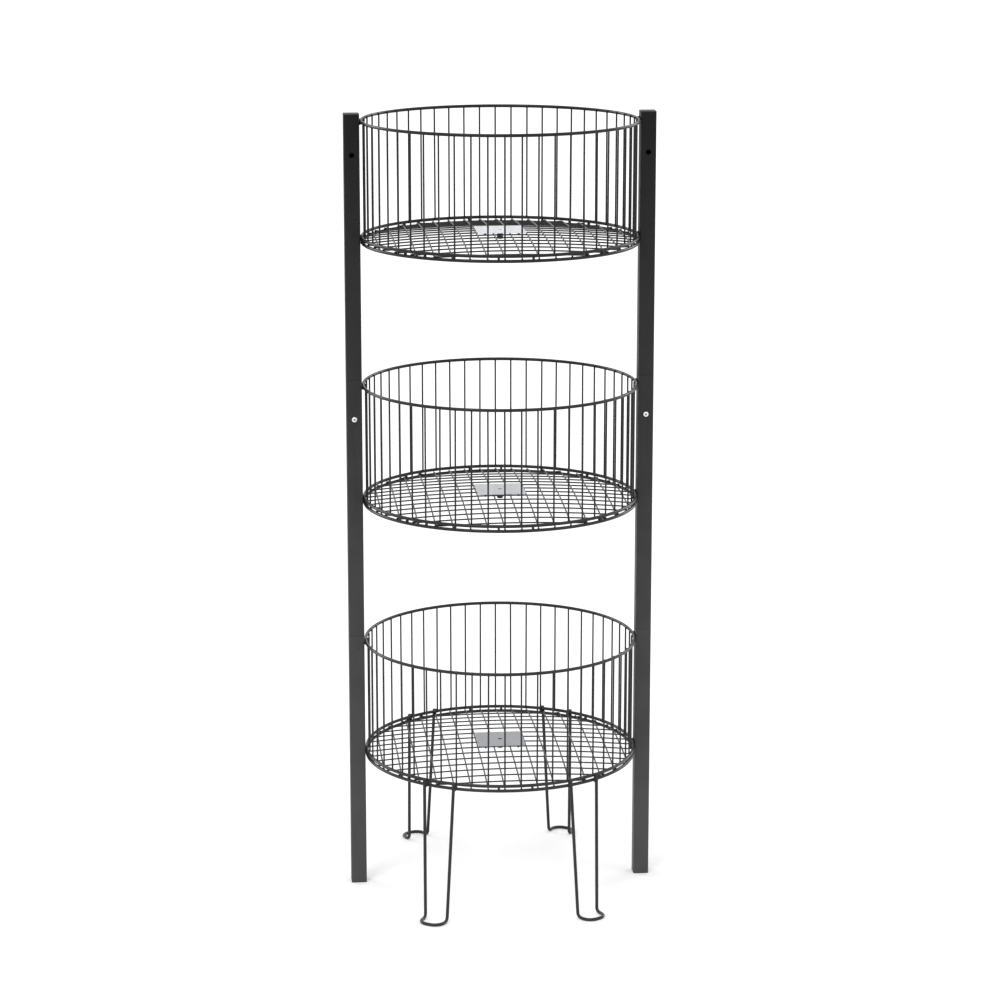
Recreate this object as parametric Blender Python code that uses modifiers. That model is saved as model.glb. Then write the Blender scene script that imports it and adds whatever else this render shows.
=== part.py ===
# Three-tier dump bin: three round wire baskets, each carried between two square posts.
# The tiers stack post on post over loose square sleeves, and the lowest one stands on
# hairpin legs. Units are metres, +Z is up, the front is -Y, and the origin is on the
# floor under the middle of the bin.

import math

import bmesh
import bpy
from mathutils import Matrix, Vector

# Fits
SEAT_GAP = 0.0003          # pieces that touch stay this far apart
WELD_SINK = 0.0003         # a welded wire sinks this far into what carries it

# Posts: square tube
BIN_WIDTH = 0.6096         # over both posts
POST_WIDTH = 0.031
POST_WALL = 0.0015
POST_CORNER = 0.0025
POST_LENGTH = 0.520        # one tier's post, and so the step from tier to tier

# Hoops and wires of a basket
RING_WIRE = 0.0064
RING_SIDES = 6
FLOOR_RING_FACETS = 40
RIM_DROP = 0.014           # post top down to the middle of the rim
BASKET_HEIGHT = 0.226      # middle of the base ring up to the middle of the rim
UPRIGHTS = 52
UPRIGHT_WIRE = 0.0034
FLOOR_WIRE = 0.0030
FLOOR_PITCH = 0.0325
FLOOR_EDGE = 0.015         # no floor wire runs closer to the ring's middle than this
FLOOR_CROWN = 0.0116       # rise of the floor from its ring to its middle
FLOOR_LEVEL = 0.094        # the floor is level this far from its middle lines, then slopes
FLOOR_BEND = 0.018         # the upper wires step down to the ring over this width
FLOOR_LAYER_GAP = 0.0010   # air between the two layers of floor wire
FLOOR_SLACK = 0.0007       # air between the floor wires' ends and the base ring on them

# Centre plate and its socket
PLATE_SIZE = 0.095
PLATE_THICKNESS = 0.0015
PLATE_CORNER = 0.003
PLATE_HOLE = 0.008
SOCKET_WIRE_GAP = 0.002    # air between the socket and the cut ends of the middle wire
SOCKET_OUTER = 0.012
SOCKET_LENGTH = 0.0165
SOCKET_CHAMFER = 0.0006

# Hairpin legs
LEG_WIRE = 0.0064
LEG_SIDES = 6
LEG_ANGLE = 31.2           # degrees from the front-back line
LEG_TOP_WIDTH = 0.064
LEG_FOOT_WIDTH = 0.0475
LEG_SPLAY = 0.014          # how much farther out the prongs are at the floor
LEG_KNEE_RADIUS = 0.009
FOOT_REACH = 0.033
FOOT_RADIUS = 0.020

# Sleeves, screws, caps and plugs in the posts
SLEEVE_LENGTH = 0.180
SLEEVE_WALL = 0.0015
SLEEVE_CLEARANCE = 0.0005
SCREW_ABOVE_END = 0.012    # lower end of a sleeve up to the screw that bites it
SCREW_HEAD = 0.011
SCREW_HEAD_HEIGHT = 0.0034
SCREW_HEAD_EDGE = 0.0014   # straight side of the head, under its crown
SCREW_HEAD_FLAT = 0.006    # flat in the middle of the crown
SCREW_SHANK = 0.005
SIGN_HOLE = 0.009
CAP_THICKNESS = 0.002
CAP_CHAMFER = 0.0006
STEM_LENGTH = 0.014        # how deep a cap or plug reaches into its post

# How finely round shapes are cut
LEG_BEND_STEPS = 3
PLATE_CORNER_STEPS = 2
PLATE_HOLE_SIDES = 12
POST_HOLE_SIDES = 16
SCREW_SIDES = 10
SCREW_CROWN_STEPS = 2
WIRE_EDGE_ANGLE = 70       # degrees: edges of a wire's polygon are shaded round below this
HARD_EDGE_ANGLE = 40       # degrees: the same for turned and square pieces

# Limits for telling shapes apart
MERGE_DISTANCE = 0.00001
ALIGNED_ANGLE = 2.0        # degrees
FLATTEN_ANGLE = 0.1        # degrees


def polygon_radius(radius, sides):
    # Corner radius of the polygon that has the same area as a round wire.
    return radius * math.sqrt(2 * math.pi / (sides * math.sin(2 * math.pi / sides)))


def flat_radius(radius, sides):
    # From the middle of that polygon to its flats.
    return polygon_radius(radius, sides) * math.cos(math.pi / sides)


def inset_corner(corner, inset):
    # The corner cut of a square outline that runs inside another one by the inset.
    return corner - inset * (2 - math.sqrt(2))


# Sizes that follow from the ones above
RING_CORNER = polygon_radius(RING_WIRE / 2, RING_SIDES)
RING_FLAT = flat_radius(RING_WIRE / 2, RING_SIDES)
UPRIGHT_SIDE = 2 * flat_radius(UPRIGHT_WIRE / 2, 4)
FLOOR_SIDE = 2 * flat_radius(FLOOR_WIRE / 2, 4)
LEG_CORNER = polygon_radius(LEG_WIRE / 2, LEG_SIDES)
TIER_PITCH = POST_LENGTH + SEAT_GAP
POST_X = (BIN_WIDTH - POST_WIDTH) / 2
POST_FACE = BIN_WIDTH / 2 - POST_WIDTH          # inner faces of the posts
POST_BORE = POST_WIDTH - 2 * POST_WALL
RIM_RADIUS = POST_FACE - SEAT_GAP - RING_FLAT
BASE_RADIUS = RIM_RADIUS - SEAT_GAP
FLOOR_RADIUS = POST_FACE - SEAT_GAP - RING_CORNER
RIM_Z = POST_LENGTH - RIM_DROP
BASE_Z = RIM_Z - BASKET_HEIGHT
RING_AIR = FLOOR_SIDE - WELD_SINK + FLOOR_SLACK  # between the floor ring and the base ring
FLOOR_Z = BASE_Z - RING_CORNER - RING_AIR - RING_FLAT
WIRE_Z = FLOOR_Z + RING_FLAT - WELD_SINK + FLOOR_SIDE / 2
LAYER_STEP = FLOOR_SIDE + FLOOR_LAYER_GAP
SLEEVE_WIDTH = POST_BORE - 2 * SLEEVE_CLEARANCE
FIXING_DROP = SLEEVE_LENGTH / 2 - SCREW_ABOVE_END  # post top down to its screw or hole
SLEEVE_CORNER = inset_corner(POST_CORNER, POST_WALL + SLEEVE_CLEARANCE)
PLUG_WIDTH = POST_BORE - 2 * SEAT_GAP
PLUG_CORNER = inset_corner(POST_CORNER, POST_WALL + SEAT_GAP)


def clear_scene():
    for item in list(bpy.data.objects):
        bpy.data.objects.remove(item, do_unlink=True)


def new_collection(name):
    group = bpy.data.collections.new(name)
    bpy.context.scene.collection.children.link(group)
    return group


def finish(name, color, roughness, metallic):
    material = bpy.data.materials.new(name)
    material.use_nodes = True
    shader = material.node_tree.nodes["Principled BSDF"]
    shader.inputs["Base Color"].default_value = (*color, 1.0)
    shader.inputs["Roughness"].default_value = roughness
    shader.inputs["Metallic"].default_value = metallic
    return material


clear_scene()
BIN = new_collection("three_tier_dump_bin")
CUTTERS = new_collection("cutters")
POST_COAT = finish("post_powder_coat", (0.045, 0.045, 0.047), 0.45, 0.0)
WIRE_COAT = finish("wire_powder_coat", (0.038, 0.038, 0.041), 0.38, 0.0)
BARE_PLATE = finish("zinc_plate", (0.62, 0.62, 0.64), 0.35, 1.0)
DARK_STEEL = finish("dark_steel", (0.06, 0.06, 0.065), 0.45, 0.6)
SLEEVE_STEEL = finish("sleeve_steel", (0.40, 0.40, 0.42), 0.40, 1.0)
BRIGHT_STEEL = finish("bright_screw", (0.75, 0.75, 0.76), 0.25, 1.0)
BLACK_PLASTIC = finish("black_plastic", (0.05, 0.05, 0.05), 0.55, 0.0)


def frame_empty(name, height):
    # Each tier hangs on an empty on the bin's axis, at the foot of its posts.
    empty = bpy.data.objects.new(name, None)
    empty.location = (0, 0, height)
    BIN.objects.link(empty)
    return empty


def add_part(name, data, parent, place=(0, 0, 0), turn=(0, 0, 0)):
    part = bpy.data.objects.new(name, data)
    part.location = place
    part.rotation_euler = turn
    part.parent = parent
    BIN.objects.link(part)
    return part


def to_mesh(name, bm, material, smooth_angle=None):
    bmesh.ops.recalc_face_normals(bm, faces=bm.faces[:])
    mesh = bpy.data.meshes.new(name)
    bm.to_mesh(mesh)
    bm.free()
    mesh.materials.append(material)
    if smooth_angle is not None:
        mesh.shade_smooth()
        mesh.set_sharp_from_angle(angle=math.radians(smooth_angle))
    return mesh


def baked(item):
    # The mesh that an object's modifiers or curve settings give, with its caps welded.
    bpy.context.view_layer.update()
    evaluated = item.evaluated_get(bpy.context.evaluated_depsgraph_get())
    mesh = bpy.data.meshes.new_from_object(evaluated)
    bm = bmesh.new()
    bm.from_mesh(mesh)
    bmesh.ops.remove_doubles(bm, verts=bm.verts[:], dist=MERGE_DISTANCE)
    bm.to_mesh(mesh)
    bm.free()
    return mesh


def wire_curve(name, paths, corner_radius, resolution, tilt=0.0):
    # One curve of straight-sided wires, each a list of points, with closed ends.
    curve = bpy.data.curves.new(name, "CURVE")
    curve.dimensions = "3D"
    curve.twist_mode = "Z_UP" if tilt else "MINIMUM"
    curve.bevel_depth = corner_radius
    curve.bevel_resolution = resolution
    curve.use_fill_caps = True
    for path in paths:
        spline = curve.splines.new("POLY")
        spline.points.add(len(path) - 1)
        for point, place in zip(spline.points, path):
            point.co = (*place, 1)
            point.tilt = tilt
    return curve


def wire_mesh(name, paths, corner_radius, resolution, tilt=0.0):
    holder = bpy.data.objects.new(name, wire_curve(name, paths, corner_radius, resolution, tilt))
    CUTTERS.objects.link(holder)
    mesh = baked(holder)
    bpy.data.objects.remove(holder, do_unlink=True)
    return mesh


def hide_tool(item):
    item.hide_render = True
    item.display_type = "WIRE"
    return item


def boolean(target, tool, operation):
    modifier = target.modifiers.new(tool.name, "BOOLEAN")
    modifier.operation = operation
    modifier.solver = "EXACT"
    modifier.object = tool


def hoop(radius, facets, flat_angle):
    # A ring of wire: a small polygon carried round the basket's axis. One of its flats faces
    # outwards at a flat angle of 0, and upwards at a quarter turn.
    first_flat = math.pi / 2 + math.pi / RING_SIDES
    bm = bmesh.new()
    bmesh.ops.create_circle(bm, segments=RING_SIDES, radius=RING_CORNER)
    turn = Matrix.Rotation(flat_angle - first_flat, 3, "Z")
    bmesh.ops.rotate(bm, verts=bm.verts, matrix=turn)
    bmesh.ops.rotate(bm, verts=bm.verts, matrix=Matrix.Rotation(math.pi / 2, 3, "X"))
    bmesh.ops.translate(bm, verts=bm.verts, vec=(radius, 0, 0))
    bmesh.ops.spin(bm, geom=bm.verts[:] + bm.edges[:], cent=(0, 0, 0), axis=(0, 0, 1),
                   angle=2 * math.pi, steps=facets, use_merge=True)
    bmesh.ops.recalc_face_normals(bm, faces=bm.faces[:])
    return bm


def join_flat_faces(bm):
    bmesh.ops.dissolve_limit(bm, angle_limit=math.radians(FLATTEN_ANGLE), verts=bm.verts[:],
                             edges=bm.edges[:])


def same_way(first, second):
    return first.angle(second) < math.radians(ALIGNED_ANGLE)


def grow(bm, face, offset):
    # Pulls one face out by the offset and gives the face at its end.
    made = bmesh.ops.extrude_face_region(bm, geom=[face])["geom"]
    moved = [item for item in made if isinstance(item, bmesh.types.BMVert)]
    bmesh.ops.translate(bm, verts=moved, vec=offset)
    bmesh.ops.delete(bm, geom=[face], context="FACES_ONLY")
    return next(item for item in made if isinstance(item, bmesh.types.BMFace))


def narrow_face(bm, face, middle, along, width):
    # Splits a face with two cuts, so that a strip of the given width stands by itself.
    for side in (-1, 1):
        geometry = [face] + face.edges[:] + face.verts[:]
        bmesh.ops.bisect_plane(bm, geom=geometry, plane_co=middle + along * side * width / 2,
                               plane_no=along * side)
        strips = [part for part in set(f for v in face.verts for f in v.link_faces)
                  if same_way(part.normal, face.normal)]
        face = min(strips, key=lambda part: (part.calc_center_median() - middle).length)
    return face


def outward_of(face):
    middle = face.calc_center_median()
    return Vector((middle.x, middle.y, 0)).normalized()


def basket_wall_mesh():
    # The base ring with its uprights: each one leaves the ring's inner flat and turns up.
    bm = hoop(BASE_RADIUS, UPRIGHTS, 0)
    inner = [face for face in bm.faces if same_way(outward_of(face), -face.normal)]
    for face in inner:
        middle = face.calc_center_median()
        outward = outward_of(face)
        along = Vector((-outward.y, outward.x, 0))
        strip = narrow_face(bm, face, middle, along, UPRIGHT_SIDE)
        end = grow(bm, strip, -outward * UPRIGHT_SIDE)
        bm.normal_update()
        sides = [part for edge in end.edges for part in edge.link_faces if part is not end]
        top = max(sides, key=lambda part: part.normal.z)
        grow(bm, top, Vector((0, 0, BASKET_HEIGHT)))
    bmesh.ops.recalc_face_normals(bm, faces=bm.faces[:])
    join_flat_faces(bm)
    return to_mesh("basket_wall", bm, WIRE_COAT)


def rim_mesh():
    return to_mesh("rim", hoop(RIM_RADIUS, UPRIGHTS, 0), WIRE_COAT, WIRE_EDGE_ANGLE)


def sag(distance):
    # How far the floor has dropped at this distance from one of its middle lines.
    slope = FLOOR_CROWN / (FLOOR_RADIUS - FLOOR_LEVEL)
    return max(0.0, distance - FLOOR_LEVEL) * slope


def wire_reach(offset, radius):
    return math.sqrt(radius * radius - offset * offset)


def wire_stops(offset, knots):
    # The run of one wire: its ends on the ring, and the bends that lie between them.
    reach = wire_reach(offset, FLOOR_RADIUS)
    bends = sorted(knot for knot in knots if knot < reach - FLOOR_BEND / 2)
    return [-reach] + [-knot for knot in reversed(bends)] + bends + [reach]


def crown(x, y):
    return FLOOR_CROWN - sag(abs(x)) - sag(abs(y))


def floor_rows():
    # The lower layer runs from side to side. The middle wire is cut to let the socket through.
    count = int((FLOOR_RADIUS - FLOOR_EDGE) / FLOOR_PITCH)
    cut = SOCKET_OUTER / 2 + SOCKET_WIRE_GAP
    paths = []
    for index in range(-count, count + 1):
        y = index * FLOOR_PITCH
        stops = wire_stops(y, [FLOOR_LEVEL])
        ends = (stops[0], stops[-1])
        path = [(x, y, WIRE_Z + (0.0 if x in ends else crown(x, y))) for x in stops]
        if abs(y) < cut:
            half = len(path) // 2
            paths.append(path[:half] + [(-cut, y, WIRE_Z + crown(cut, y))])
            paths.append([(cut, y, WIRE_Z + crown(cut, y))] + path[half:])
        else:
            paths.append(path)
    return paths


def floor_columns():
    # The upper layer runs from front to back and steps down to the ring at its ends.
    count = int((FLOOR_RADIUS - FLOOR_EDGE) / FLOOR_PITCH + 0.5)
    paths = []
    for index in range(-count, count):
        x = (index + 0.5) * FLOOR_PITCH
        bend = wire_reach(x, FLOOR_RADIUS - FLOOR_BEND)
        stops = wire_stops(x, [bend] + [knot for knot in [FLOOR_LEVEL] if knot < bend])
        ends = (stops[0], stops[-1])
        paths.append([(x, y, WIRE_Z + (0.0 if y in ends else LAYER_STEP + crown(x, y)))
                      for y in stops])
    return paths


def basket_floor_mesh():
    # The floor ring, joined with both layers of wire.
    corner = polygon_radius(FLOOR_WIRE / 2, 4)
    hoop_shape = hoop(FLOOR_RADIUS, FLOOR_RING_FACETS, math.pi / 2)
    ring = bpy.data.objects.new("floor_ring", to_mesh("floor_ring", hoop_shape, WIRE_COAT))
    ring.data.transform(Matrix.Translation((0, 0, FLOOR_Z)))
    tools = [ring]
    CUTTERS.objects.link(ring)
    layers = {
        "floor_rows": wire_mesh("floor_rows", floor_rows(), corner, 0, math.pi / 4),
        "floor_columns": wire_mesh("floor_columns", floor_columns(), corner, 0, math.pi / 4),
    }
    for name, mesh in layers.items():
        tool = hide_tool(bpy.data.objects.new(name, mesh))
        CUTTERS.objects.link(tool)
        boolean(ring, tool, "UNION")
        tools.append(tool)
    mesh = baked(ring)
    for tool in tools:
        bpy.data.objects.remove(tool, do_unlink=True)
    bm = bmesh.new()
    bm.from_mesh(mesh)
    join_flat_faces(bm)
    bm.to_mesh(mesh)
    bm.free()
    mesh.name = "basket_floor"
    mesh.materials.clear()
    mesh.materials.append(WIRE_COAT)
    return mesh


def block(width, height, corner):
    # A square bar with its upright edges cut at 45 degrees, standing on z = 0.
    bm = bmesh.new()
    bmesh.ops.create_cube(bm, size=1.0)
    bmesh.ops.scale(bm, verts=bm.verts, vec=(width, width, height))
    bmesh.ops.translate(bm, verts=bm.verts, vec=(0, 0, height / 2))
    upright = [edge for edge in bm.edges
               if abs(edge.verts[0].co.z - edge.verts[1].co.z) > height / 2]
    bmesh.ops.bevel(bm, geom=upright, offset=corner, segments=1, profile=0.5, affect="EDGES",
                    material=-1)
    bm.normal_update()
    return bm


def square_tube_mesh(name, width, length, corner, material):
    # The outside of a square tube, open at both ends.
    bm = block(width, length, corner)
    ends = [face for face in bm.faces
            if same_way(face.normal, Vector((0, 0, 1))) or same_way(face.normal, Vector((0, 0, -1)))]
    bmesh.ops.delete(bm, geom=ends, context="FACES_ONLY")
    return to_mesh(name, bm, material, HARD_EDGE_ANGLE)


def add_wall(tube, wall):
    shell = tube.modifiers.new("wall", "SOLIDIFY")
    shell.thickness = wall
    shell.offset = -1.0
    shell.use_even_offset = True


def hole_cutter(name, diameter, place):
    # A short bar that goes through a post's front wall.
    bm = bmesh.new()
    bmesh.ops.create_cone(bm, cap_ends=True, segments=POST_HOLE_SIDES, radius1=diameter / 2,
                          radius2=diameter / 2, depth=4 * POST_WALL)
    bmesh.ops.rotate(bm, verts=bm.verts, matrix=Matrix.Rotation(math.pi / 2, 3, "X"))
    tool = hide_tool(bpy.data.objects.new(name, to_mesh(name, bm, POST_COAT)))
    tool.location = place
    CUTTERS.objects.link(tool)
    return tool


def plate_mesh():
    # A square plate with eased corners and a round hole in the middle.
    curve = bpy.data.curves.new("centre_plate", "CURVE")
    curve.dimensions = "2D"
    curve.fill_mode = "BOTH"
    curve.extrude = PLATE_THICKNESS / 2
    half = PLATE_SIZE / 2 - PLATE_CORNER
    outline = []
    for quarter, (x, y) in enumerate(((half, half), (-half, half), (-half, -half), (half, -half))):
        for step in range(PLATE_CORNER_STEPS + 1):
            angle = math.pi / 2 * (quarter + step / PLATE_CORNER_STEPS)
            outline.append((x + PLATE_CORNER * math.cos(angle), y + PLATE_CORNER * math.sin(angle)))
    radius = PLATE_HOLE / 2
    angles = [2 * math.pi * side / PLATE_HOLE_SIDES for side in range(PLATE_HOLE_SIDES)]
    hole = [(radius * math.cos(angle), radius * math.sin(angle)) for angle in angles]
    for points in (outline, hole):
        spline = curve.splines.new("POLY")
        spline.points.add(len(points) - 1)
        for point, (x, y) in zip(spline.points, points):
            point.co = (x, y, 0, 1)
        spline.use_cyclic_u = True
    holder = bpy.data.objects.new("centre_plate", curve)
    CUTTERS.objects.link(holder)
    mesh = baked(holder)
    bpy.data.objects.remove(holder, do_unlink=True)
    mesh.materials.clear()
    mesh.materials.append(BARE_PLATE)
    return mesh


def turned_mesh(name, outline, steps, material, closed):
    # Turns an outline of (radius, height) points about Z.
    bm = bmesh.new()
    points = [bm.verts.new((radius, 0, height)) for radius, height in outline]
    for first, second in zip(points, points[1:]):
        bm.edges.new((first, second))
    if closed:
        bm.edges.new((points[-1], points[0]))
    mesh = bpy.data.meshes.new(name)
    bm.to_mesh(mesh)
    bm.free()
    holder = bpy.data.objects.new(name, mesh)
    CUTTERS.objects.link(holder)
    screw = holder.modifiers.new("turn", "SCREW")
    screw.steps = steps
    screw.render_steps = steps
    screw.use_merge_vertices = True
    screw.merge_threshold = MERGE_DISTANCE
    result = baked(holder)
    bpy.data.objects.remove(holder, do_unlink=True)
    result.materials.append(material)
    result.shade_smooth()
    result.set_sharp_from_angle(angle=math.radians(HARD_EDGE_ANGLE))
    return result


def socket_mesh():
    # The threaded socket under the plate, with its top face at z = 0.
    outer = SOCKET_OUTER / 2
    bore = PLATE_HOLE / 2
    edge = SOCKET_CHAMFER
    outline = [(outer, 0), (outer, -SOCKET_LENGTH + edge), (outer - edge, -SOCKET_LENGTH),
               (bore, -SOCKET_LENGTH), (bore, 0)]
    return turned_mesh("plate_socket", outline, PLATE_HOLE_SIDES, DARK_STEEL, True)


def screw_mesh():
    # A pan head screw whose head rests on the post and whose tip ends just off the sleeve.
    head = SCREW_HEAD / 2
    flat = SCREW_HEAD_FLAT / 2
    shank = SCREW_SHANK / 2
    rise = SCREW_HEAD_HEIGHT - SCREW_HEAD_EDGE
    reach = POST_WALL + SLEEVE_CLEARANCE - SEAT_GAP
    angles = [math.pi / 2 * step / SCREW_CROWN_STEPS for step in range(SCREW_CROWN_STEPS + 1)]
    crown_line = [(flat + (head - flat) * math.sin(angle), SCREW_HEAD_EDGE + rise * math.cos(angle))
                  for angle in angles]
    outline = [(0, SCREW_HEAD_HEIGHT)] + crown_line
    outline += [(head, SEAT_GAP), (shank, SEAT_GAP), (shank, -reach), (0, -reach)]
    return turned_mesh("clamp_screw", outline, SCREW_SIDES, BRIGHT_STEEL, False)


def cap_mesh():
    # A cap that covers the end of a post, with a stem that fits its bore. z = 0 is its underside.
    bm = block(POST_WIDTH, CAP_THICKNESS, POST_CORNER)
    bottom = min(bm.faces, key=lambda face: face.calc_center_median().z)
    bmesh.ops.inset_region(bm, faces=[bottom], thickness=POST_WALL + SEAT_GAP, use_even_offset=True)
    grow(bm, bottom, Vector((0, 0, -STEM_LENGTH)))
    bm.normal_update()
    top = max(bm.faces, key=lambda face: face.calc_center_median().z)
    bmesh.ops.bevel(bm, geom=top.edges[:], offset=CAP_CHAMFER, segments=1, profile=0.5,
                    affect="EDGES", material=-1)
    return to_mesh("top_cap", bm, BLACK_PLASTIC)


def plug_mesh():
    # A plug that sits flush in the foot of a post.
    bm = block(PLUG_WIDTH, STEM_LENGTH, PLUG_CORNER)
    return to_mesh("foot_plug", bm, BLACK_PLASTIC)


def rounded_path(corners, radii, steps):
    # A path through the corners, each turned on an arc of its own radius.
    path = [corners[0]]
    for index in range(1, len(corners) - 1):
        before = (corners[index - 1] - corners[index]).normalized()
        after = (corners[index + 1] - corners[index]).normalized()
        half = before.angle(after) / 2
        inset = radii[index - 1] / math.tan(half)
        middle = corners[index] + (before + after).normalized() * radii[index - 1] / math.sin(half)
        start = corners[index] + before * inset - middle
        end = corners[index] + after * inset - middle
        sweep = start.angle(end)
        for step in range(steps + 1):
            share = step / steps
            arm = (start * math.sin((1 - share) * sweep) + end * math.sin(share * sweep))
            path.append(middle + arm / math.sin(sweep))
    path.append(corners[-1])
    return path


def leg_curve(name):
    # One hairpin: down, out along the floor, round, and back up, outside both lower rings.
    top_radius = BASE_RADIUS + RING_FLAT + SEAT_GAP + LEG_CORNER
    foot_radius = top_radius + LEG_SPLAY
    top_out = wire_reach(LEG_TOP_WIDTH / 2, top_radius)
    foot_out = wire_reach(LEG_FOOT_WIDTH / 2, foot_radius)
    top_z = BASE_Z + RING_CORNER
    foot_z = LEG_CORNER
    half = [Vector((LEG_TOP_WIDTH / 2, top_out, top_z)),
            Vector((LEG_FOOT_WIDTH / 2, foot_out, foot_z)),
            Vector((LEG_FOOT_WIDTH / 2, foot_out + FOOT_REACH, foot_z))]
    other = [Vector((-corner.x, corner.y, corner.z)) for corner in reversed(half)]
    radii = (LEG_KNEE_RADIUS, FOOT_RADIUS, FOOT_RADIUS, LEG_KNEE_RADIUS)
    path = rounded_path(half + other, radii, LEG_BEND_STEPS)
    curve = wire_curve(name, [path], LEG_CORNER, LEG_SIDES // 2 - 2)
    curve.materials.append(WIRE_COAT)
    return curve


def build_tier(name, empty, tier_parts, post_holes):
    # One tier: two posts, and between them the rim, wall, floor, plate and socket.
    parts = {
        "rim": (tier_parts["rim"], RIM_Z),
        "basket_wall": (tier_parts["wall"], BASE_Z),
        "basket_floor": (tier_parts["floor"], 0),
        "centre_plate": (tier_parts["plate"], plate_height() + PLATE_THICKNESS / 2),
        "plate_socket": (tier_parts["socket"], plate_height() - SEAT_GAP),
    }
    for part, (mesh, height) in parts.items():
        add_part(f"{name}_{part}", mesh, empty, (0, 0, height))
    for side, sign in (("left", -1), ("right", 1)):
        post = add_part(f"{name}_post_{side}", tier_parts["post"], empty, (sign * POST_X, 0, 0))
        add_wall(post, POST_WALL)
        if post_holes:
            level = empty.location.z + POST_LENGTH - FIXING_DROP
            place = (sign * POST_X, -POST_WIDTH / 2, level)
            boolean(post, hole_cutter(f"{name}_hole_{side}", post_holes, place), "DIFFERENCE")


def plate_height():
    # The plate lies on the two upper floor wires nearest to the middle.
    wire_top = WIRE_Z + LAYER_STEP + crown(FLOOR_PITCH / 2, 0) + FLOOR_SIDE / 2
    return wire_top + SEAT_GAP


def build_legs(empty):
    corners = {"front_left": -LEG_ANGLE, "front_right": LEG_ANGLE,
               "back_right": 180 - LEG_ANGLE, "back_left": 180 + LEG_ANGLE}
    for corner, angle in corners.items():
        turn = math.radians(angle + 180)
        add_part(f"leg_{corner}", leg_curve(f"leg_{corner}"), empty, turn=(0, 0, turn))


def build_sleeves(name, empty):
    # Half of each sleeve is in the lower post and half reaches up into the next one.
    mesh = square_tube_mesh("sleeve", SLEEVE_WIDTH, SLEEVE_LENGTH, SLEEVE_CORNER, SLEEVE_STEEL)
    for side, sign in (("left", -1), ("right", 1)):
        place = (sign * POST_X, 0, POST_LENGTH + SEAT_GAP / 2 - SLEEVE_LENGTH / 2)
        add_wall(add_part(f"{name}_sleeve_{side}", mesh, empty, place), SLEEVE_WALL)


def build_fixings(empty):
    # The screws in the middle posts clamp the sleeves that carry the top tier.
    mesh = screw_mesh()
    for side, sign in (("left", -1), ("right", 1)):
        place = (sign * POST_X, -POST_WIDTH / 2, POST_LENGTH - FIXING_DROP)
        add_part(f"clamp_screw_{side}", mesh, empty, place, (math.pi / 2, 0, 0))


def build_ends(bottom, top):
    plug = plug_mesh()
    cap = cap_mesh()
    for side, sign in (("left", -1), ("right", 1)):
        add_part(f"foot_plug_{side}", plug, bottom, (sign * POST_X, 0, 0))
        add_part(f"top_cap_{side}", cap, top, (sign * POST_X, 0, POST_LENGTH + SEAT_GAP))


def build_bin():
    tier_parts = {
        "rim": rim_mesh(),
        "wall": basket_wall_mesh(),
        "floor": basket_floor_mesh(),
        "plate": plate_mesh(),
        "socket": socket_mesh(),
        "post": square_tube_mesh("post", POST_WIDTH, POST_LENGTH, POST_CORNER, POST_COAT),
    }
    bottom = frame_empty("bottom_tier", 0)
    middle = frame_empty("middle_tier", TIER_PITCH)
    top = frame_empty("top_tier", 2 * TIER_PITCH)
    build_tier("bottom", bottom, tier_parts, None)
    build_tier("middle", middle, tier_parts, SCREW_SHANK + 2 * SEAT_GAP)
    build_tier("top", top, tier_parts, SIGN_HOLE)
    build_legs(bottom)
    build_sleeves("lower", bottom)
    build_sleeves("upper", middle)
    build_fixings(middle)
    build_ends(bottom, top)


build_bin()
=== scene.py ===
# Looks for a three-tier dump bin: round wire, welds, tube, plates and powder coat, built
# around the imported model. Metres, +Z up, and the front faces -Y.

import math
import random

import bmesh
import bpy
from mathutils import Matrix, Vector


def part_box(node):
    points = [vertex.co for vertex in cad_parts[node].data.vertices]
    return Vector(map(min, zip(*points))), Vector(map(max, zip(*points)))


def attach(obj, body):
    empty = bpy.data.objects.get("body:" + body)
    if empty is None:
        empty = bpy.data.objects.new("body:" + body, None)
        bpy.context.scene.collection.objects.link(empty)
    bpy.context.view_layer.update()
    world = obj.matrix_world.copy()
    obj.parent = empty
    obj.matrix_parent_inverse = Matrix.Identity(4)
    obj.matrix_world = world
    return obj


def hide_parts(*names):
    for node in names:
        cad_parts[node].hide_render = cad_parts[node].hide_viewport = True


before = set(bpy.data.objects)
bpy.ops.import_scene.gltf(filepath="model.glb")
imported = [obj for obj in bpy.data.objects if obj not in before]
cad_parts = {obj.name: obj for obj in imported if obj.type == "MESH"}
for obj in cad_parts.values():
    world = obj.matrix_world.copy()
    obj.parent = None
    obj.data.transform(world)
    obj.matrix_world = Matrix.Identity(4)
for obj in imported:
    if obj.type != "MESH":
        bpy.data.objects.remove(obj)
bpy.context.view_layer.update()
print("frame loaded:", len(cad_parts), "nodes")

tierNames = ("bottom", "middle", "top")
sides = {"left": -1, "right": 1}
up = Vector((0, 0, 1))


# Camera

view = {
    "lens": 113,
    "sensor": 36,
    "clipEnd": 500,
    "distance": 6.1,        # from the bin's middle line
    "height": 2.2,
    "azimuth": -5.5,        # degrees to the left of straight ahead
    "aimHeight": 0.79,
}


def makeCamera():
    lens = bpy.data.cameras.new("camera")
    lens.lens = view["lens"]
    lens.sensor_width = view["sensor"]
    lens.clip_end = view["clipEnd"]
    camera = bpy.data.objects.new("camera", lens)
    azimuth = math.radians(view["azimuth"])
    camera.location = (view["distance"] * math.sin(azimuth),
                       -view["distance"] * math.cos(azimuth), view["height"])
    tilt = math.atan((view["height"] - view["aimHeight"]) / view["distance"])
    camera.rotation_euler = (math.pi / 2 - tilt, 0, azimuth)
    bpy.context.scene.collection.objects.link(camera)
    bpy.context.scene.camera = camera


makeCamera()
bpy.context.scene.view_settings.view_transform = "Standard"
print("camera placed")


# Shared shader groups

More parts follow.
